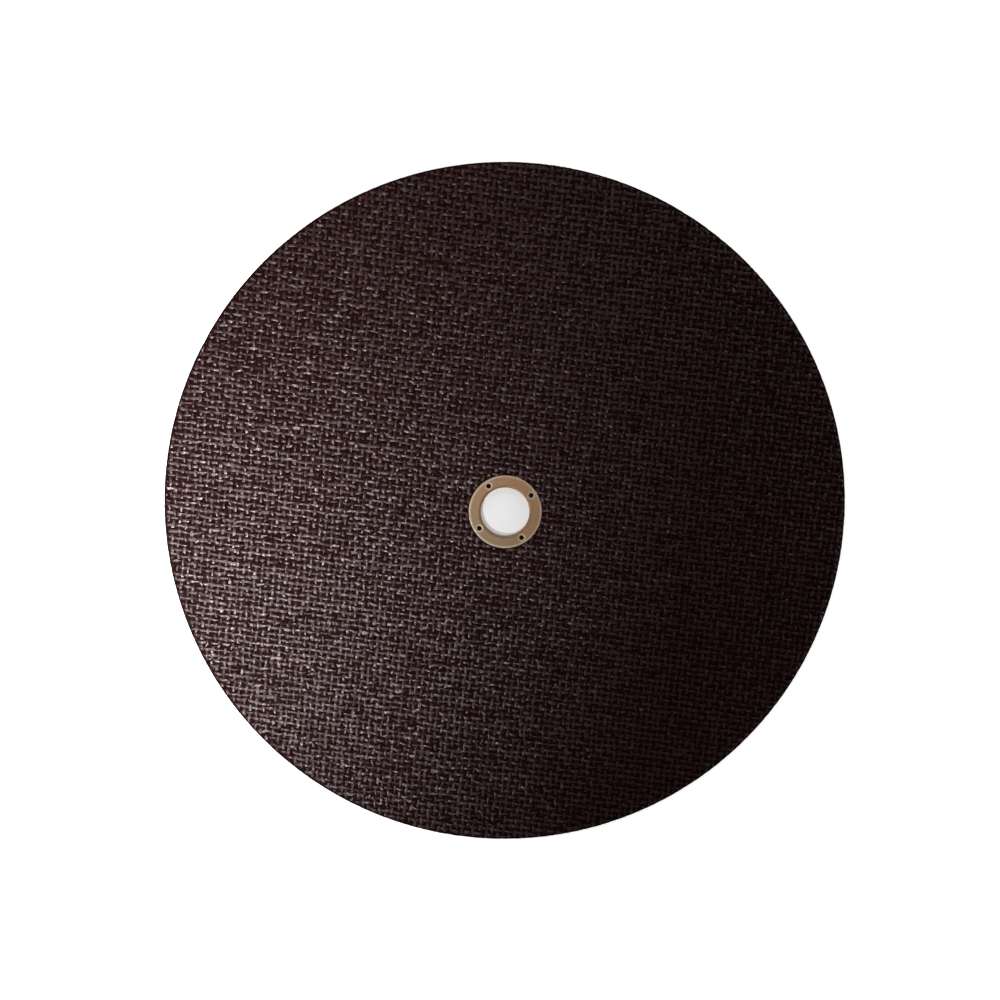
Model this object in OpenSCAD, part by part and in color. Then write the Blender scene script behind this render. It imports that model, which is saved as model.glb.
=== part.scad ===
// Resin-bonded cut-off wheel for a chop saw.
// A disc of abrasive grain is pressed flat between two woven glass nets and cured into one piece.
// A ring stamped from thin metal lines the bore, and its pierced flange is pressed into the front face.
// The origin is on the axis at the back face, and +Z points out of the face that shows the flange.

/* [Wheel] */
// Outside diameter
wheel_d = 355; // [250:1:405]
// Thickness over the thread crowns of both faces
wheel_t = 3; // [2.6:0.1:5]

/* [Glass net] */
// Spacing of the weft threads, eight to the inch
thread_pitch = 3.175; // [2.8:0.005:5]
// Height of a pressed thread above the grain bed
thread_rise = 0.25; // [0.1:0.05:0.4]
// Width of a thread where it meets the grain bed
thread_foot = 2.2; // [1.6:0.1:2.6]
// Width of the flat that the press leaves along a thread
thread_crown = 1.1; // [0.8:0.1:1.5]
// Direction of the weft on the front face, from +X
front_weft_angle = -7.4; // [-45:0.1:45]
// Direction of the weft on the back face, from +X
back_weft_angle = 38; // [-45:0.5:45]

/* [Centre ring] */
// Bore for the saw's arbor
bore_d = 25.4; // [19:0.1:32]
// Outside diameter of the flange
flange_d = 38.1; // [36:0.1:60]
// Thickness of the ring's sheet metal
sheet_t = 0.6; // [0.5:0.05:0.8]
// Depth of the flange's seat below the grain bed
seat_depth = 0.15; // [0.05:0.05:0.4]
// Inside radius of the bend from flange to sleeve
bend_r = 0.4; // [0.2:0.1:0.8]
// Rounding of the flange's outer edge
flange_edge_r = 0.35; // [0.1:0.05:0.45]
// Distance that the sleeve stops short of the back face
sleeve_inset = 0.2; // [0.1:0.05:0.5]

/* [Pierced anchors] */
// Number of holes pierced through the flange
anchor_count = 4; // [2:1:8]
// Diameter of the circle that the holes lie on
anchor_pcd = 32; // [31:0.1:33]
// Direction of the first hole, from +X
anchor_angle = 32.5; // [0:0.5:90]
// Diameter of a pierced hole
anchor_hole_d = 2.4; // [1.6:0.1:2.8]
// Rounding that the punch leaves at the mouth of a hole
anchor_lip_r = 0.5; // [0.2:0.05:0.55]
// Wall of the collar that the punch draws out under the flange
anchor_wall = 0.3; // [0.2:0.05:0.5]
// Depth that a collar bites into the wheel
anchor_bite = 0.8; // [0.4:0.1:1.5]

/* [Fit] */
// Gap between the ring's round walls and the wheel
ring_fit = 0.05; // [0.02:0.01:0.1]

/* [Hidden] */
$fn = 96;

// Length by which a cutting shape runs past the face that it cuts
overcut = 1;

// Heights of the front face
bed_z = wheel_t - thread_rise;
seat_z = bed_z - seat_depth;
flange_z = seat_z + sheet_t;

// Radii of the ring
bore_r = bore_d / 2;
sleeve_r = bore_r + sheet_t;
flange_r = flange_d / 2;
mouth_r = bend_r + sheet_t;
collar_r = anchor_hole_d / 2 + anchor_wall;

// Grooves between the threads, from the axis to the last one that clears the rim
groove_floor = thread_pitch - thread_foot;
groove_slope = (thread_foot - thread_crown) / 2 / thread_rise;
groove_rise = 0.1;
groove_mouth = thread_pitch - thread_crown + 2 * groove_slope * groove_rise;
groove_rows = floor(wheel_d / 2 / thread_pitch - 1);
comb_reach = wheel_d / 2 + overcut;

// One groove's outline across the threads, open upwards, with the crowns at height 0
function groove(row) =
    let (x = (row + 0.5) * thread_pitch)
    [
        [x - groove_mouth / 2, groove_rise],
        [x - groove_floor / 2, -thread_rise],
        [x + groove_floor / 2, -thread_rise],
        [x + groove_mouth / 2, groove_rise]
    ];

// All the grooves of one face as a single comb, its teeth down and its threads along +X
module groove_comb() {
    outline = [
        [-comb_reach, groove_rise + overcut],
        [-comb_reach, groove_rise],
        for (row = [-groove_rows : groove_rows - 1]) each groove(row),
        [comb_reach, groove_rise],
        [comb_reach, groove_rise + overcut]
    ];
    rotate([90, 0, 90])
        linear_extrude(height = 2 * comb_reach, center = true)
            polygon(outline);
}

module at_anchors() {
    for (i = [0 : anchor_count - 1])
        rotate(anchor_angle + i * 360 / anchor_count)
            translate([anchor_pcd / 2, 0, 0])
                children();
}

// The pressed and cured disc: woven relief on both faces, the bore, the flange's seat and its anchor pockets
module bonded_wheel() {
    hole_r = sleeve_r + ring_fit;
    color([0.19, 0.11, 0.105])
        difference() {
            cylinder(h = wheel_t, d = wheel_d);
            translate([0, 0, wheel_t])
                rotate(front_weft_angle)
                    groove_comb();
            mirror([0, 0, 1])
                rotate(back_weft_angle)
                    groove_comb();
            translate([0, 0, seat_z])
                cylinder(h = wheel_t, r = flange_r + ring_fit);
            translate([0, 0, -overcut])
                cylinder(h = wheel_t + 2 * overcut, r = hole_r);
            // Bevel that clears the bend of the ring
            translate([0, 0, seat_z - bend_r])
                cylinder(h = 2 * bend_r, r1 = hole_r, r2 = hole_r + 2 * bend_r);
            at_anchors()
                translate([0, 0, seat_z - anchor_bite - ring_fit])
                    cylinder(h = wheel_t, r = collar_r + ring_fit);
        }
}

// Half section of the ring before piercing: sleeve, bend and flange with its rolled edge
module ring_section() {
    bend_x = sleeve_r + bend_r;
    bend_z = seat_z - bend_r;
    edge_x = flange_r - flange_edge_r;
    translate([bore_r, sleeve_inset])
        square([sheet_t, bend_z - sleeve_inset]);
    intersection() {
        difference() {
            translate([bend_x, bend_z])
                circle(r = mouth_r);
            translate([bend_x, bend_z])
                circle(r = bend_r);
        }
        translate([bore_r, bend_z])
            square(mouth_r);
    }
    translate([bend_x, seat_z])
        square([edge_x - bend_x, sheet_t]);
    translate([edge_x, seat_z])
        square([flange_edge_r, sheet_t - flange_edge_r]);
    intersection() {
        translate([edge_x, flange_z - flange_edge_r])
            circle(r = flange_edge_r);
        translate([edge_x, flange_z - flange_edge_r])
            square(flange_edge_r);
    }
}

// The void that a punch leaves: a straight hole whose mouth is rounded into the flange's top
module pierced_void() {
    hole_r = anchor_hole_d / 2;
    translate([0, 0, seat_z - anchor_bite - overcut])
        cylinder(h = anchor_bite + sheet_t + 2 * overcut, r = hole_r, $fn = 48);
    rotate_extrude($fn = 48)
        difference() {
            translate([0, flange_z - anchor_lip_r])
                square([hole_r + anchor_lip_r, anchor_lip_r + overcut]);
            translate([hole_r + anchor_lip_r, flange_z - anchor_lip_r])
                circle(r = anchor_lip_r);
        }
}

// The stamped ring: one sheet bent into a sleeve and flange, with collars pierced down into the wheel
module centre_ring() {
    color([0.58, 0.48, 0.37])
        difference() {
            union() {
                rotate_extrude()
                    ring_section();
                at_anchors()
                    translate([0, 0, seat_z - anchor_bite])
                        cylinder(h = anchor_bite + sheet_t / 2, r = collar_r, $fn = 48);
            }
            at_anchors()
                pierced_void();
        }
}

bonded_wheel();
centre_ring();
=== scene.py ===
import math

import bpy
import numpy as np
from mathutils import Matrix, Vector


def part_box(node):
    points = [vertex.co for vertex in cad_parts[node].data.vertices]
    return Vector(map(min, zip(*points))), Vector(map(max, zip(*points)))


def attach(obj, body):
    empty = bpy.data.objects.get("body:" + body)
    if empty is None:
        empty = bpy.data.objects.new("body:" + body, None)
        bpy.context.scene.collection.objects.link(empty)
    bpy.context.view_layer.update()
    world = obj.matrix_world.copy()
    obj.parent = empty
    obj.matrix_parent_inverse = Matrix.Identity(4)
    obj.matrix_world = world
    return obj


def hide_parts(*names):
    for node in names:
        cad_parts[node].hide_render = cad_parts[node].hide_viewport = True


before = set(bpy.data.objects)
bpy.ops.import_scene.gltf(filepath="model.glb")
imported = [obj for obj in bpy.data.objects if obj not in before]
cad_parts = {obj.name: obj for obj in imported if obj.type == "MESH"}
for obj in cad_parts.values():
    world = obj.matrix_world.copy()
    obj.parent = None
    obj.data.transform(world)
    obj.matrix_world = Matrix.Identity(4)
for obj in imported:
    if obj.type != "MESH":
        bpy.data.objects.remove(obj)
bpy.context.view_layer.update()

mm = 0.001
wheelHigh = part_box("bonded_wheel")[1]
wheelRadius = wheelHigh.x
wheelTop = wheelHigh.z
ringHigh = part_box("centre_ring")[1]
ringRadius = ringHigh.x
ringTop = ringHigh.z
boreRadius = 13.35 * mm  # the wheel's own hole, which the ring's sleeve lines
print("frame loaded, wheel radius", round(wheelRadius / mm, 2), "mm")

scene = bpy.context.scene
scene.view_settings.view_transform = "Standard"


# camera: almost straight above, leaning a little towards +Y
camera = {
    "place": (-5.163, 53.771, 500.0),  # mm
    "aim": (-2.716, 6.240, 3.0),  # mm
    "lens": 34.564,  # mm
    "sensor": 36.0,  # mm
    "clip": (0.01, 50.0),  # m
}


def makeCamera(spec):
    data = bpy.data.cameras.new("camera")
    data.lens = spec["lens"]
    data.sensor_width = spec["sensor"]
    data.clip_start, data.clip_end = spec["clip"]
    obj = bpy.data.objects.new("camera", data)
    scene.collection.objects.link(obj)
    place = Vector(spec["place"]) * mm
    forward = (Vector(spec["aim"]) * mm - place).normalized()
    right = forward.cross(Vector((0, 1, 0))).normalized()
    up = right.cross(forward)
    turn = Matrix((right, up, -forward)).transposed().to_4x4()
    obj.matrix_world = Matrix.Translation(place) @ turn
    scene.camera = obj


makeCamera(camera)
print("camera placed")


# small helpers for shader trees
noiseMiddle = 0.5  # a noise or random colour varies about this


def addNode(tree, kind, **values):
    node = tree.nodes.new(kind)
    for key, value in values.items():
        if hasattr(node, key):
            setattr(node, key, value)
        else:
            node.inputs[key.replace("_", " ")].default_value = value
    return node


def wire(tree, source, target):
    tree.links.new(source, target)


def mathNode(tree, operation, first, second=None, clamp=False):
    node = tree.nodes.new("ShaderNodeMath")
    node.operation = operation
    node.use_clamp = clamp
    for slot, value in enumerate((first, second)):
        if value is None:
            continue
        if isinstance(value, (int, float)):
            node.inputs[slot].default_value = value
        else:
            tree.links.new(value, node.inputs[slot])
    return node.outputs[0]


def mixColour(tree, factor, first, second):
    node = tree.nodes.new("ShaderNodeMix")
    node.data_type = "RGBA"
    for name, value in (("Factor_Float", factor), ("A_Color", first), ("B_Color", second)):
        socket = next(s for s in node.inputs if s.identifier == name)
        if hasattr(value, "is_output"):
            tree.links.new(value, socket)
        else:
            socket.default_value = value
    return next(s for s in node.outputs if s.identifier == "Result_Color")


def ramp(tree, value, low, high, outLow=0.0, outHigh=1.0):
    node = tree.nodes.new("ShaderNodeMapRange")
    node.interpolation_type = "SMOOTHSTEP"
    for name, number in (("From Min", low), ("From Max", high), ("To Min", outLow), ("To Max", outHigh)):
        node.inputs[name].default_value = number
    tree.links.new(value, node.inputs["Value"])
    return node.outputs["Result"]


def newGroup(name, inputs, outputs):
    group = bpy.data.node_groups.new(name, "ShaderNodeTree")
    for label, kind, value in inputs:
        socket = group.interface.new_socket(label, in_out="INPUT", socket_type=kind)
        socket.default_value = value
    for label, kind in outputs:
        group.interface.new_socket(label, in_out="OUTPUT", socket_type=kind)
    return group, group.nodes.new("NodeGroupInput"), group.nodes.new("NodeGroupOutput")


def placeGroup(tree, group, **values):
    node = tree.nodes.new("ShaderNodeGroup")
    node.node_tree = group
    for label, value in values.items():
        socket = node.inputs[label]
        if hasattr(value, "is_output"):
            tree.links.new(value, socket)
        else:
            socket.default_value = value
    return node


def newMaterial(name):
    material = bpy.data.materials.new(name)
    material.use_nodes = True
    tree = material.node_tree
    return material, tree, tree.nodes["Principled BSDF"]


# grit: resin-coated grains as small domes, each leaning its own way, over a finer grain; height is in mm
gritShape = {
    "leanReach": 2.0,  # brings the mean lean to about 1
    "rarity": 5.0,  # power that keeps most grains level
    "fineNoise": {"Scale": 2.0, "Detail": 0.0},  # per mm
}


def makeGritGroup():
    group, inside, outside = newGroup(
        "grit",
        [
            ("grainSize", "NodeSocketFloat", 0.8),
            ("tilt", "NodeSocketFloat", 0.3),
            ("lump", "NodeSocketFloat", 0.1),
            ("fine", "NodeSocketFloat", 0.1),
        ],
        [("height", "NodeSocketFloat"), ("speck", "NodeSocketFloat")],
    )
    where = group.nodes.new("ShaderNodeTexCoord")
    size = addNode(group, "ShaderNodeVectorMath", operation="SCALE")
    size.inputs["Scale"].default_value = 1 / mm
    wire(group, where.outputs["Object"], size.inputs[0])
    cells = addNode(group, "ShaderNodeTexVoronoi", feature="F1")
    wire(group, size.outputs[0], cells.inputs["Vector"])
    wire(group, mathNode(group, "DIVIDE", 1.0, inside.outputs["grainSize"]), cells.inputs["Scale"])
    # a lean of its own for each grain
    offCentre = addNode(group, "ShaderNodeVectorMath", operation="SUBTRACT")
    wire(group, size.outputs[0], offCentre.inputs[0])
    wire(group, cells.outputs["Position"], offCentre.inputs[1])
    lean = addNode(group, "ShaderNodeVectorMath", operation="SUBTRACT")
    wire(group, cells.outputs["Color"], lean.inputs[0])
    lean.inputs[1].default_value = (noiseMiddle,) * 3
    facet = addNode(group, "ShaderNodeVectorMath", operation="DOT_PRODUCT")
    wire(group, offCentre.outputs[0], facet.inputs[0])
    wire(group, lean.outputs[0], facet.inputs[1])
    # most grains lie almost level and a few lean a good deal
    length = addNode(group, "ShaderNodeVectorMath", operation="LENGTH")
    wire(group, lean.outputs[0], length.inputs[0])
    steep = mathNode(group, "MULTIPLY", length.outputs["Value"], gritShape["leanReach"])
    rarely = mathNode(group, "POWER", steep, gritShape["rarity"])
    steepness = mathNode(group, "MULTIPLY", inside.outputs["tilt"], rarely)
    facets = mathNode(group, "MULTIPLY", facet.outputs["Value"], steepness)
    # a round top for each grain
    away = cells.outputs["Distance"]
    dome = mathNode(group, "SUBTRACT", 1.0, mathNode(group, "MULTIPLY", away, away))
    domes = mathNode(group, "MULTIPLY", dome, inside.outputs["lump"])
    noise = addNode(group, "ShaderNodeTexNoise", **gritShape["fineNoise"])
    wire(group, size.outputs[0], noise.inputs["Vector"])
    small = mathNode(group, "MULTIPLY", noise.outputs["Fac"], inside.outputs["fine"])
    coarse = mathNode(group, "ADD", facets, domes)
    wire(group, mathNode(group, "ADD", coarse, small), outside.inputs["height"])
    parts = group.nodes.new("ShaderNodeSeparateColor")
    wire(group, cells.outputs["Color"], parts.inputs["Color"])
    wire(group, parts.outputs["Green"], outside.inputs["speck"])
    return group


# cast: dark maroon resin that drifts in tone over the wheel and mottles at the scale of the grain
castShape = {
    "broadNoise": {"Scale": 22.0, "Detail": 2.0},  # per metre
    "fineNoise": {"Scale": 700.0, "Detail": 3.0, "Roughness": 0.65},  # per metre
}


def makeCastGroup():
    group, inside, outside = newGroup(
        "cast",
        [
            ("dark", "NodeSocketColor", (0.03, 0.01, 0.01, 1)),
            ("light", "NodeSocketColor", (0.1, 0.05, 0.05, 1)),
            ("drift", "NodeSocketFloat", 0.5),
            ("mottle", "NodeSocketFloat", 0.5),
        ],
        [("colour", "NodeSocketColor")],
    )
    where = group.nodes.new("ShaderNodeTexCoord")
    shares = []
    for values, amount in ((castShape["broadNoise"], "drift"), (castShape["fineNoise"], "mottle")):
        noise = addNode(group, "ShaderNodeTexNoise", **values)
        wire(group, where.outputs["Object"], noise.inputs["Vector"])
        about = mathNode(group, "SUBTRACT", noise.outputs["Fac"], noiseMiddle)
        shares.append(mathNode(group, "MULTIPLY", about, inside.outputs[amount]))
    tone = mathNode(group, "ADD", mathNode(group, "ADD", *shares), noiseMiddle, clamp=True)
    colour = mixColour(group, tone, inside.outputs["dark"], inside.outputs["light"])
    wire(group, colour, outside.inputs["colour"])
    return group


grit = makeGritGroup()
cast = makeCastGroup()
resinRelief = {"Strength": 1.0, "Distance": mm}


# tone and gloss of a resin; gives its colour and the height of its grains
def placeResin(tree, shader, resin):
    grains = placeGroup(tree, grit, **resin["grain"])
    tint = placeGroup(tree, cast, dark=resin["dark"], light=resin["light"], **resin["tone"])
    shader.inputs["Specular Tint"].default_value = resin["gloss"]
    shader.inputs["Specular IOR Level"].default_value = resin["shine"]
    rough = ramp(tree, grains.outputs["speck"], 0.0, 1.0, resin["smoothest"], resin["roughest"])
    wire(tree, rough, shader.inputs["Roughness"])
    return tint.outputs["colour"], grains.outputs["height"]


def placeRelief(tree, shader, height, relief):
    bump = addNode(tree, "ShaderNodeBump", **relief)
    wire(tree, height, bump.inputs["Height"])
    wire(tree, bump.outputs["Normal"], shader.inputs["Normal"])


print("shader groups ready")


# the glass net: threads of a plain weave, pressed flat, soaked in resin and half sunk in the bed
net = {
    "pitch": 3.175,  # mm
    # a thread's section: shares of its half width, and mm below its crown
    "section": ((-1.0, 0.75), (-0.80, 0.0), (0.80, 0.0), (1.0, 0.75)),
    "crown": (1, 2),  # the section's points on either side of the flat crown
    "wander": 0.30,  # mm, sideways
    "wanderStep": 5.0,  # stations
    "roll": 0.15,  # slope of a crown across its thread
    "rollStep": 2.3,  # stations
    "widthSpread": 0.20,  # share of the width
    "heightSpread": 0.08,  # mm
    "sway": 0.25,  # mm, slow distortion of the whole net
    "swayLengths": (150.0, 210.0, 320.0),  # mm
    "spare": 2,  # pairs of crossings beyond the rim
    "endShare": 0.25,  # of the width, the least from a thread's end to a station
    "rimGap": 1.1,  # mm from the rim to a thread's end
    "seatGap": 0.12,  # mm from the ring or the bore to a thread's end
}
# a thread's path from where it crosses over to where it dives under, as pitches along and mm down:
# the weft arches highest, the warp lies a little lower
weft = {
    "width": 1.65,  # mm
    "path": ((0.0, 0.0), (0.33, 0.11), (0.67, 0.32), (1.0, 0.47)),
    "lean": 0.10,  # mean slope of the crown across the thread
    "overEven": True,  # crosses over on even rows
}
warp = {
    "width": 1.65,  # mm
    "path": ((0.0, 0.11), (0.22, 0.12), (0.56, 0.34), (1.0, 0.64)),
    "lean": 0.0,
    "overEven": False,
}
frontNet = {"weftAngle": -7.4, "warpAngle": 84.4, "seed": 11}  # degrees from +X
backNet = {"weftAngle": 38.0, "warpAngle": 129.0, "seed": 13}
crownShare = net["section"][net["crown"][1]][0]  # half of the flat crown, as a share of the half width


def turned(angle):
    a = math.radians(angle)
    return np.array((math.cos(a), math.sin(a))), np.array((-math.sin(a), math.cos(a)))


def smoothNoise(rng, count, step):
    knots = rng.normal(size=int(count / step) + 3)  # they reach past the last station
    return np.interp(np.arange(count) / step, np.arange(len(knots)), knots)


# a slow distortion that all the threads of a net share
def makeDistortion(rng):
    lengths = net["swayLengths"]
    waves = []
    for length in lengths:
        direction, phase = rng.uniform(0, 2 * math.pi, size=2)
        heading = np.array((math.cos(direction), math.sin(direction)))
        waves.append((2 * math.pi / length * heading, phase, net["sway"] * length / lengths[-1]))

    def shift(points):
        return sum(size * np.sin(points @ wave + phase) for wave, phase, size in waves)

    return shift


def meshFrom(name, points, faces, smooth=True):
    mesh = bpy.data.meshes.new(name)
    mesh.from_pydata(points, [], faces)
    mesh.update()
    if smooth:
        mesh.polygons.foreach_set("use_smooth", np.ones(len(mesh.polygons), dtype=bool))
    obj = bpy.data.objects.new(name, mesh)
    scene.collection.objects.link(obj)
    mesh.calc_loop_triangles()
    print(name, "made with", len(mesh.loop_triangles), "triangles")
    return obj


# where one thread runs, from rim to rim or from the rim to the ring and on
def threadSpans(base, outer, inner, width):
    reach = math.sqrt(outer**2 - base**2)
    if abs(base) > inner + width / 2:
        return [(-reach, reach)]
    hole = math.sqrt(max(inner**2 - base**2, 0.0))
    return [(-reach, -hole), (hole, reach)]


# one set of threads; "angle" is the direction they run in, "otherAngle" that of the threads they cross
def makeThreads(name, kind, angle, otherAngle, front, seed):
    rng = np.random.default_rng(seed)
    pitch, width = net["pitch"], kind["width"]
    top = wheelTop / mm
    path = np.array(kind["path"])
    path = np.concatenate((path[-2:0:-1] * (-1, 1), path))  # both ways from the crossing
    ahead, across = turned(angle)
    otherAcross = turned(otherAngle)[1]
    outer = wheelRadius / mm - net["rimGap"]
    inner = (ringRadius if front else boreRadius) / mm + net["seatGap"]
    slant = float(ahead @ otherAcross)
    skew = float(across @ otherAcross)
    section = np.array(net["section"])
    endGap = net["endShare"] * width
    shift = makeDistortion(rng)
    points, faces, runs = [], [], []
    total = 0
    rows = int((outer - width) / pitch)
    for row in range(-rows, rows + 1):
        base = row * pitch
        first = 0 if (row % 2 == 0) == kind["overEven"] else 1
        last = 2 * (int(outer / pitch / 2) + net["spare"])
        crossings = np.arange(first - last, last + 1, 2)
        stations = ((crossings[:, None] + path[:, 0]).ravel() * pitch - skew * base) / slant
        levels = -np.tile(path[:, 1], len(crossings))
        order = np.argsort(stations)
        stations, levels = stations[order], levels[order]
        wander = net["wander"] * smoothNoise(rng, len(stations), net["wanderStep"])
        swell = 1 + net["widthSpread"] * smoothNoise(rng, len(stations), net["wanderStep"])
        roll = kind["lean"] + net["roll"] * smoothNoise(rng, len(stations), net["rollStep"])
        levels = levels - net["heightSpread"] * np.abs(rng.normal(size=len(stations)))
        for low, high in threadSpans(base, outer, inner, width):
            keep = (stations > low + endGap) & (stations < high - endGap)
            if not keep.any():
                continue
            places = np.concatenate(([low], stations[keep], [high]))
            centre = places[:, None] * ahead + base * across
            aside = shift(centre) + np.interp(places, stations, wander)
            centre = centre + aside[:, None] * across
            crown = top + np.interp(places, stations, levels)
            half = width / 2 * np.interp(places, stations, swell)
            flat = centre[:, None, :] + (section[:, 0] * half[:, None])[:, :, None] * across
            # the ends follow the rim and the ring
            far = np.linalg.norm(flat, axis=2)
            flat = flat * (np.clip(far, inner, outer) / far)[:, :, None]
            lean = np.interp(places, stations, roll) * half
            crown = crown - np.abs(lean) * crownShare  # the higher edge stays at the thread's level
            height = np.minimum(crown[:, None] - section[:, 1] + lean[:, None] * section[:, 0], top)
            points.append(np.concatenate((flat, height[:, :, None]), axis=2).reshape(-1, 3))
            index = total + np.arange(far.size).reshape(far.shape)
            total += far.size
            # the foot is open, since it lies inside the bed
            quads = np.stack((index[:-1, :-1], index[1:, :-1], index[1:, 1:], index[:-1, 1:]), axis=2)
            faces.extend(quads.reshape(-1, 4).tolist())
            faces.append(index[0].tolist())
            faces.append(index[-1][::-1].tolist())
            run = np.empty(far.shape + (3,))
            run[:, :, 0] = places[:, None]
            run[:, :, 1] = section[:, 0]
            run[:, :, 2] = rng.uniform()
            runs.append(run.reshape(-1, 3))
    places = np.concatenate(points)
    if not front:
        places[:, 2] = wheelTop / mm - places[:, 2]
        faces = [face[::-1] for face in faces]
    obj = meshFrom(name, places * mm, faces)
    attribute = obj.data.attributes.new("threadRun", "FLOAT_VECTOR", "POINT")
    attribute.data.foreach_set("vector", np.concatenate(runs).astype(np.float32).ravel())
    # the pressed crown meets the thread's sides in an edge
    ends = np.empty(2 * len(obj.data.edges), dtype=np.int32)
    obj.data.edges.foreach_get("vertices", ends)
    column = ends.reshape(-1, 2) % len(section)
    sharp = (column[:, 0] == column[:, 1]) & np.isin(column[:, 0], net["crown"])
    obj.data.attributes.new("sharp_edge", "BOOLEAN", "EDGE").data.foreach_set("value", sharp)
    return obj


threadResin = {
    "dark": (0.033, 0.0060, 0.0057, 1),
    "light": (0.069, 0.0150, 0.0140, 1),
    "lowShade": (0.014, 0.0029, 0.0027, 1),  # painted shade where a thread lies low
    "sunk": (0.08, 0.34),  # mm below the crowns over which the painted shade sets in
    "gloss": (1.0, 0.85, 0.85, 1),
    "shine": 0.64,
    "smoothest": 0.31,  # roughness of the glossiest grains
    "roughest": 0.53,
    "round": 0.06,  # mm that the crown falls to its edges
    "grain": {"grainSize": 1.8, "tilt": 0.07, "lump": 0.10, "fine": 0.07},  # mm, tilt as a slope
    "tone": {"drift": 0.8, "mottle": 1.2},
    "filament": 0.02,  # mm
    "filamentNoise": {"Scale": 2.0, "Detail": 2.0},
    "streak": (0.25, 3.2, 97.0),  # noise steps per mm along, per half width across, and between threads
}


def makeThreadMaterial():
    material, tree, shader = newMaterial("threadResin")
    tint, grains = placeResin(tree, shader, threadResin)
    run = addNode(tree, "ShaderNodeAttribute", attribute_name="threadRun")
    # filaments: fine streaks that run along the thread
    streak = addNode(tree, "ShaderNodeVectorMath", operation="MULTIPLY")
    wire(tree, run.outputs["Vector"], streak.inputs[0])
    streak.inputs[1].default_value = threadResin["streak"]
    filaments = addNode(tree, "ShaderNodeTexNoise", **threadResin["filamentNoise"])
    wire(tree, streak.outputs[0], filaments.inputs["Vector"])
    # painted shade: darker where a thread lies low
    where = tree.nodes.new("ShaderNodeTexCoord")
    place = tree.nodes.new("ShaderNodeSeparateXYZ")
    wire(tree, where.outputs["Object"], place.inputs["Vector"])
    middle = wheelTop / 2
    fromMiddle = mathNode(tree, "ABSOLUTE", mathNode(tree, "SUBTRACT", place.outputs["Z"], middle))
    below = mathNode(tree, "DIVIDE", mathNode(tree, "SUBTRACT", middle, fromMiddle), mm)
    sunk = ramp(tree, below, *threadResin["sunk"])
    wire(tree, mixColour(tree, sunk, tint, threadResin["lowShade"]), shader.inputs["Base Color"])
    # the crown's own roundness, with grains and filaments on it
    streaks = mathNode(tree, "MULTIPLY", filaments.outputs["Fac"], threadResin["filament"])
    parts = tree.nodes.new("ShaderNodeSeparateXYZ")
    wire(tree, run.outputs["Vector"], parts.inputs["Vector"])
    square = mathNode(tree, "MULTIPLY", parts.outputs["Y"], parts.outputs["Y"])
    fall = mathNode(tree, "MULTIPLY", square, -threadResin["round"] / crownShare**2)
    height = mathNode(tree, "ADD", mathNode(tree, "ADD", grains, streaks), fall)
    placeRelief(tree, shader, height, resinRelief)
    return material


threadMaterial = makeThreadMaterial()
threads = []
for side, lay in (("front", frontNet), ("back", backNet)):
    front = side == "front"
    weftWay, warpWay, seed = lay["weftAngle"], lay["warpAngle"], lay["seed"]
    threads.append(makeThreads(side + "_weft", weft, weftWay, warpWay, front, seed))
    threads.append(makeThreads(side + "_warp", warp, warpWay, weftWay, front, seed + 1))
for thread in threads:
    thread.data.materials.append(threadMaterial)
    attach(thread, "root")
    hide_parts("bonded_wheel")
print("nets laid")


# the bed of grain and resin between the nets: faces, rim, and the hole and seat that hold the ring
bed = {
    "depth": 0.50,  # mm below the crowns
    "lump": 0.05,  # mm, unevenness from point to point
    "swell": 0.08,  # mm, slow rise and fall
    "swellLength": (7.0, 15.0),  # mm
    "swellWaves": 14,
    "frontStep": 1.2,  # mm, mesh step
    "backStep": 2.4,  # mm
    "leastAround": 120,  # points on the smallest ring
    "stretch": 1.7,  # mesh steps between two points of a ring, at most
    "rimRound": 0.6,  # mm
    "rimSteps": 3,  # rings on each rounded edge
    "rimLump": 0.10,  # mm
    "rimLumpMost": 2,  # times rimLump, at most
    "seatGap": 0.05,  # mm from the ring's flange to the bed
    "sheet": 0.65,  # mm from the flange's top to its seat
    "bevel": 0.8,  # mm, where the ring bends into the hole
    "seed": 21,
}
bedResin = {
    "dark": (0.007, 0.0014, 0.0013, 1),
    "light": (0.018, 0.0038, 0.0036, 1),
    "gloss": (1.0, 0.85, 0.85, 1),
    "shine": 0.05,
    "smoothest": 0.48,
    "roughest": 0.62,
    "grain": {"grainSize": 1.5, "tilt": 0.30, "lump": 0.14, "fine": 0.09},  # mm, tilt as a slope
    "tone": {"drift": 0.8, "mottle": 1.6},
}


# faces between two rings of points, where one may have twice as many points as the other
def linkRings(first, second):
    a = np.append(first, first[0])
    b = np.append(second, second[0])
    if len(first) == len(second):
        return np.stack((a[:-1], b[:-1], b[1:], a[1:]), axis=1).tolist()
    if len(first) < len(second):
        parts = ((a[:-1], b[0:-1:2], b[1::2]), (a[:-1], b[1::2], a[1:]), (a[1:], b[1::2], b[2::2]))
    else:
        parts = ((a[0:-1:2], b[:-1], a[1::2]), (a[1::2], b[:-1], b[1:]), (a[1::2], b[1:], a[2::2]))
    return np.concatenate([np.stack(part, axis=1) for part in parts]).tolist()


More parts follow.
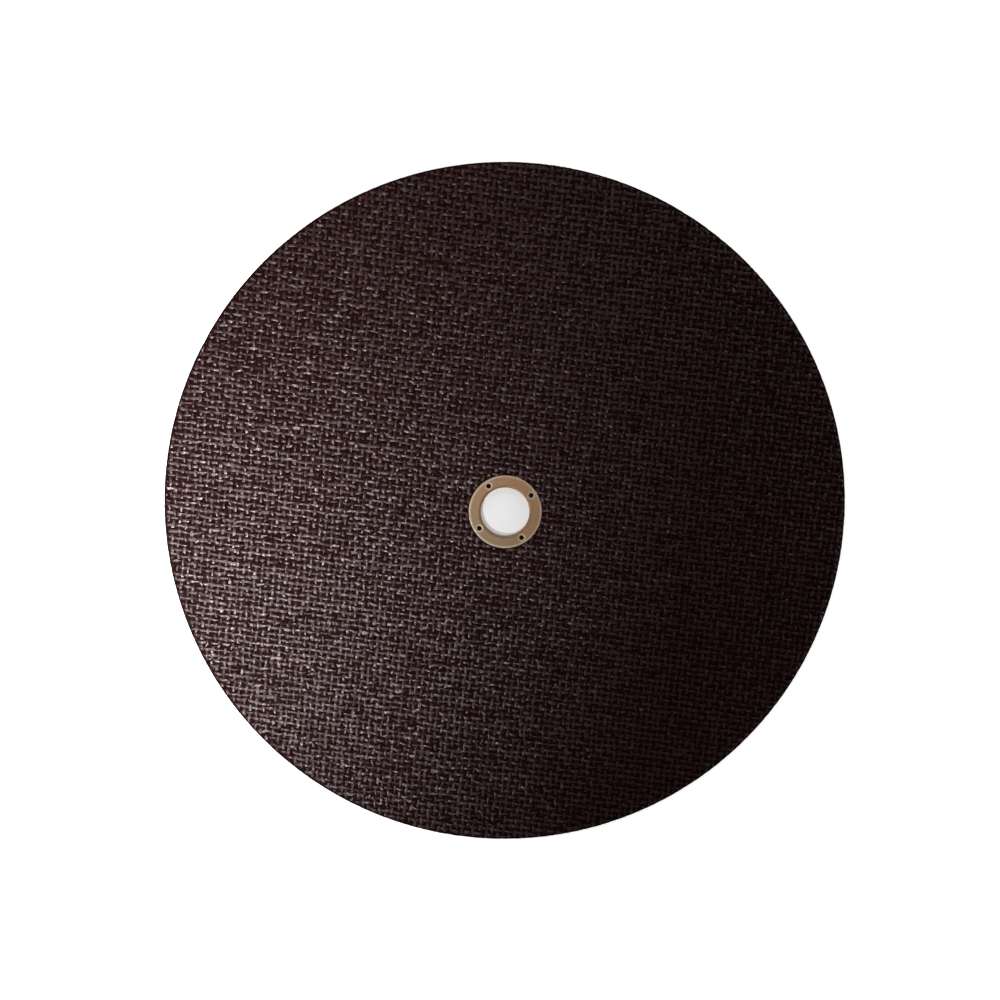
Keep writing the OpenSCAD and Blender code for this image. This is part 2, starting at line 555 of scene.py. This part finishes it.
def makeBed():
    rng = np.random.default_rng(bed["seed"])
    outer, top = wheelRadius / mm, wheelTop / mm
    high, low = top - bed["depth"], bed["depth"]
    inner = ringRadius / mm + bed["seatGap"]
    hole = boreRadius / mm
    seat = ringTop / mm - bed["sheet"]
    shoulder = outer - bed["rimRound"]
    swells = []
    for length in rng.uniform(*bed["swellLength"], size=bed["swellWaves"]):
        heading, phase = rng.uniform(0, 2 * math.pi, size=2)
        swells.append((2 * math.pi / length, heading, phase))

    # points round a ring: as few as keep the step, doubled from the smallest ring outwards
    def countAround(radius, step):
        count = bed["leastAround"]
        while 2 * math.pi * radius / count > bed["stretch"] * step:
            count *= 2
        return count

    rings = []  # each is (radius, height, points, lump sideways, lump upright)
    for radius in np.linspace(inner, shoulder, int((shoulder - inner) / bed["frontStep"])):
        rings.append((radius, high, countAround(radius, bed["frontStep"]), 0.0, bed["lump"]))
    rimCount = rings[-1][2]
    turns = np.linspace(0, math.pi / 2, bed["rimSteps"] + 1)[1:]
    for middle, bend, order in ((high, -1, turns), (low, 1, turns[::-1])):
        for turn in order:
            radius = shoulder + bed["rimRound"] * math.sin(turn)
            height = middle + bend * bed["rimRound"] * (1 - math.cos(turn))
            rings.append((radius, height, rimCount, bed["rimLump"], 0.0))
    for radius in np.linspace(shoulder, hole, int((shoulder - hole) / bed["backStep"])):
        rings.append((radius, low, countAround(radius, bed["backStep"]), 0.0, bed["lump"]))
    for radius, height in ((hole, seat - bed["bevel"]), (hole + bed["bevel"], seat), (inner, seat)):
        rings.append((radius, height, bed["leastAround"], 0.0, 0.0))

    points, loops, total = [], [], 0
    for radius, height, count, sideways, upright in rings:
        angle = np.arange(count) * 2 * math.pi / count
        r = radius - sideways * np.abs(rng.normal(size=count)).clip(0, bed["rimLumpMost"])
        x, y = r * np.cos(angle), r * np.sin(angle)
        z = height + upright * rng.uniform(-1, 1, size=count)
        if upright > 0:
            slow = 0
            for wave, way, phase in swells:
                slow = slow + np.sin(wave * (x * math.cos(way) + y * math.sin(way)) + phase)
            z = z + bed["swell"] * slow / math.sqrt(len(swells) / 2)
        points.append(np.stack((x, y, z), axis=1))
        loops.append(total + np.arange(count))
        total += count
    faces = []
    for first, second in zip(loops, loops[1:] + loops[:1]):
        faces.extend(linkRings(first, second))
    return meshFrom("grain_bed", np.concatenate(points) * mm, faces)


def makeBedMaterial():
    material, tree, shader = newMaterial("grainBed")
    tint, grains = placeResin(tree, shader, bedResin)
    wire(tree, tint, shader.inputs["Base Color"])
    placeRelief(tree, shader, grains, resinRelief)
    return material


grainBed = makeBed()
grainBed.data.materials.append(makeBedMaterial())
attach(grainBed, "root")
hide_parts("bonded_wheel")
print("bed laid")


# the stamped ring keeps its own solid and gets its metal here; lengths in mm
ringMetal = {
    "warm": (0.526, 0.292, 0.154, 1),  # towards the upper right
    "grey": (0.305, 0.231, 0.148, 1),  # towards the lower left
    "highlight": (0.61, 0.477, 0.360, 1),  # painted highlight on edges and lips
    "grimeAndShade": (0.165, 0.115, 0.074, 1),  # painted shade in the bend at the mouth, and grime in the turning marks
    "drift": (0.7, 0.7),  # how fast grey turns to warm along X and Y
    "lines": 900.0,  # turning marks per metre of radius
    "lineNoise": {"Scale": 1.0, "Detail": 2.0},
    "blotchNoise": {"Scale": 420.0, "Detail": 3.0},  # per metre
    "blotches": (0.3, 0.7),  # noise between smooth and rough patches
    "rough": (0.50, 0.64),
    "marks": 3.0,  # how strongly blotches and lines show
    "relief": {"Strength": 0.25, "Distance": 0.06 * mm},
    "groove": (-0.05, 0.35),  # noise between clean and grimy marks
    "grooveGrime": 0.42,
    "edge": (17.6, 18.6),  # radii between which the edge gets a painted highlight
    "edgeHighlight": 0.95,
    "mouth": (14.7, 13.5),  # radii between which the painted shade sets in
    "mouthGrime": 0.36,
    "holes": 4,
    "holeCircle": 16.0,
    "holeAngle": 32.5,  # degrees
    "lip": (2.3, 1.8),  # from a hole's centre, over which the lip gets a painted highlight
    "lipHighlight": 0.95,
}


# how far a point on the ring is from the nearest pierced hole, in mm
def holeDistance(tree, x, y, radius):
    step = 2 * math.pi / ringMetal["holes"]
    angle = mathNode(tree, "ARCTAN2", y, x)
    fromHole = mathNode(tree, "SUBTRACT", angle, math.radians(ringMetal["holeAngle"]) - step / 2)
    turn = mathNode(tree, "SUBTRACT", mathNode(tree, "FLOORED_MODULO", fromHole, step), step / 2)
    out = mathNode(tree, "MULTIPLY", radius, mathNode(tree, "COSINE", turn))
    aside = mathNode(tree, "MULTIPLY", radius, mathNode(tree, "SINE", turn))
    inward = mathNode(tree, "SUBTRACT", out, ringMetal["holeCircle"])
    square = mathNode(tree, "ADD", mathNode(tree, "MULTIPLY", inward, inward),
                      mathNode(tree, "MULTIPLY", aside, aside))
    return mathNode(tree, "SQRT", square)


def makeRingMaterial():
    material, tree, shader = newMaterial("ringBrass")
    where = tree.nodes.new("ShaderNodeTexCoord")
    parts = tree.nodes.new("ShaderNodeSeparateXYZ")
    wire(tree, where.outputs["Object"], parts.inputs["Vector"])
    x = mathNode(tree, "DIVIDE", parts.outputs["X"], mm)
    y = mathNode(tree, "DIVIDE", parts.outputs["Y"], mm)
    square = mathNode(tree, "ADD", mathNode(tree, "MULTIPLY", x, x), mathNode(tree, "MULTIPLY", y, y))
    radius = mathNode(tree, "SQRT", square)
    lineAt = tree.nodes.new("ShaderNodeCombineXYZ")
    wire(tree, mathNode(tree, "MULTIPLY", radius, ringMetal["lines"] * mm), lineAt.inputs["X"])
    lines = addNode(tree, "ShaderNodeTexNoise", **ringMetal["lineNoise"])
    wire(tree, lineAt.outputs["Vector"], lines.inputs["Vector"])
    blotch = addNode(tree, "ShaderNodeTexNoise", **ringMetal["blotchNoise"])
    wire(tree, where.outputs["Object"], blotch.inputs["Vector"])
    # from grey to warm across the ring, broken up by blotches and turning marks
    across = mathNode(tree, "ADD", mathNode(tree, "MULTIPLY", x, ringMetal["drift"][0]),
                      mathNode(tree, "MULTIPLY", y, ringMetal["drift"][1]))
    slow = mathNode(tree, "DIVIDE", across, 2 * ringRadius / mm)
    pair = mathNode(tree, "ADD", blotch.outputs["Fac"], lines.outputs["Fac"])
    both = mathNode(tree, "SUBTRACT", pair, 2 * noiseMiddle)
    marks = mathNode(tree, "ADD", mathNode(tree, "MULTIPLY", both, ringMetal["marks"]), noiseMiddle)
    tone = mathNode(tree, "ADD", slow, marks, clamp=True)
    plain = mixColour(tree, tone, ringMetal["grey"], ringMetal["warm"])
    # painted shade in the bend at the mouth, and real grime in the turning marks
    bend = ramp(tree, radius, *ringMetal["mouth"], 0.0, ringMetal["mouthGrime"])
    groove = ramp(tree, both, *ringMetal["groove"], 0.0, ringMetal["grooveGrime"])
    grimeAndShade = mathNode(tree, "MAXIMUM", bend, groove)
    dirtyAndShaded = mixColour(tree, grimeAndShade, plain, ringMetal["grimeAndShade"])
    # painted highlight along the outer edge and round the lips of the holes
    edge = ramp(tree, radius, *ringMetal["edge"], 0.0, ringMetal["edgeHighlight"])
    lip = ramp(tree, holeDistance(tree, x, y, radius), *ringMetal["lip"], 0.0, ringMetal["lipHighlight"])
    highlight = mixColour(tree, mathNode(tree, "MAXIMUM", edge, lip), dirtyAndShaded, ringMetal["highlight"])
    wire(tree, highlight, shader.inputs["Base Color"])
    shader.inputs["Metallic"].default_value = 1.0
    rough = ramp(tree, blotch.outputs["Fac"], *ringMetal["blotches"], *ringMetal["rough"])
    wire(tree, rough, shader.inputs["Roughness"])
    placeRelief(tree, shader, marks, ringMetal["relief"])
    return material


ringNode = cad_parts["centre_ring"]
ringNode.data.materials.clear()
ringNode.data.materials.append(makeRingMaterial())
print("ring dressed")


# floor: a white table, with a pale card under the wheel that shows through the bore
floor = {
    "half": 6.0,  # m
    "drop": 0.02,  # mm below the lowest crown
    "white": 0.85,  # glow seen by the eye, beside the light that falls on it
    "card": 0.278,  # glow of the card
    "cardEdge": (0.09, 0.10),  # m, radii over which the card ends
    "albedo": 0.75,
}


def seenByEye(tree):
    path = tree.nodes.new("ShaderNodeLightPath")
    first = mathNode(tree, "MAXIMUM", path.outputs["Is Camera Ray"], path.outputs["Is Glossy Ray"])
    return mathNode(tree, "MAXIMUM", first, path.outputs["Is Transmission Ray"])


def makeFloor():
    half, z = floor["half"], -floor["drop"] * mm
    corners = [(-half, -half, z), (half, -half, z), (half, half, z), (-half, half, z)]
    obj = meshFrom("floor", corners, [(0, 1, 2, 3)], smooth=False)
    material = bpy.data.materials.new("floorPaper")
    material.use_nodes = True
    tree = material.node_tree
    tree.nodes.clear()
    out = tree.nodes.new("ShaderNodeOutputMaterial")
    where = tree.nodes.new("ShaderNodeTexCoord")
    length = tree.nodes.new("ShaderNodeVectorMath")
    length.operation = "LENGTH"
    wire(tree, where.outputs["Object"], length.inputs[0])
    glowAmount = ramp(tree, length.outputs["Value"], *floor["cardEdge"], floor["card"], floor["white"])
    glow = tree.nodes.new("ShaderNodeEmission")
    wire(tree, mathNode(tree, "MULTIPLY", glowAmount, seenByEye(tree)), glow.inputs["Strength"])
    matt = addNode(tree, "ShaderNodeBsdfDiffuse", Color=(floor["albedo"],) * 3 + (1,))
    both = tree.nodes.new("ShaderNodeAddShader")
    wire(tree, glow.outputs[0], both.inputs[0])
    wire(tree, matt.outputs[0], both.inputs[1])
    wire(tree, both.outputs[0], out.inputs["Surface"])
    obj.data.materials.append(material)


makeFloor()


# light: a soft box with a grid, high on the lower left, so that the light falls away to the right
window = {
    "place": (-350.0, -355.0, 714.0),  # mm
    "aim": (-282.0, 2.0, 0.0),  # mm
    "size": (170.0, 170.0),  # mm
    "spread": 46.0,  # degrees
    "power": 1.13,  # W
}
room = {
    "dim": 0.004,  # the ceiling
    "white": 1.0,  # the walls, and all that the camera sees
    "wallTop": (0.488, 0.61),  # sines of the heights between which the walls end
    "lean": 0.35,  # how much lower they end towards -Y than towards +Y
}


def makeWindow(spec):
    data = bpy.data.lights.new("window", "AREA")
    data.shape = "RECTANGLE"
    data.size, data.size_y = (side * mm for side in spec["size"])
    data.spread = math.radians(spec["spread"])
    data.energy = spec["power"]
    obj = bpy.data.objects.new("window", data)
    scene.collection.objects.link(obj)
    place = Vector(spec["place"]) * mm
    obj.location = place
    obj.visible_camera = False
    obj.rotation_euler = (Vector(spec["aim"]) * mm - place).to_track_quat("-Z", "Y").to_euler()


def makeRoom(spec):
    world = bpy.data.worlds.new("room")
    world.use_nodes = True
    scene.world = world
    tree = world.node_tree
    tree.nodes.clear()
    out = tree.nodes.new("ShaderNodeOutputWorld")
    path = tree.nodes.new("ShaderNodeLightPath")
    where = tree.nodes.new("ShaderNodeTexCoord")
    parts = tree.nodes.new("ShaderNodeSeparateXYZ")
    wire(tree, where.outputs["Generated"], parts.inputs["Vector"])
    tilt = mathNode(tree, "MULTIPLY", parts.outputs["Y"], spec["lean"])
    height = mathNode(tree, "SUBTRACT", parts.outputs["Z"], tilt)
    wall = ramp(tree, height, *spec["wallTop"], 1.0, 0.0)
    shown = mathNode(tree, "MAXIMUM", path.outputs["Is Camera Ray"], wall)
    back = addNode(tree, "ShaderNodeBackground", Color=(1, 1, 1, 1))
    lit = mathNode(tree, "MULTIPLY", shown, spec["white"] - spec["dim"])
    wire(tree, mathNode(tree, "ADD", lit, spec["dim"]), back.inputs["Strength"])
    wire(tree, back.outputs[0], out.inputs["Surface"])


makeWindow(window)
makeRoom(room)
print("stage lit")
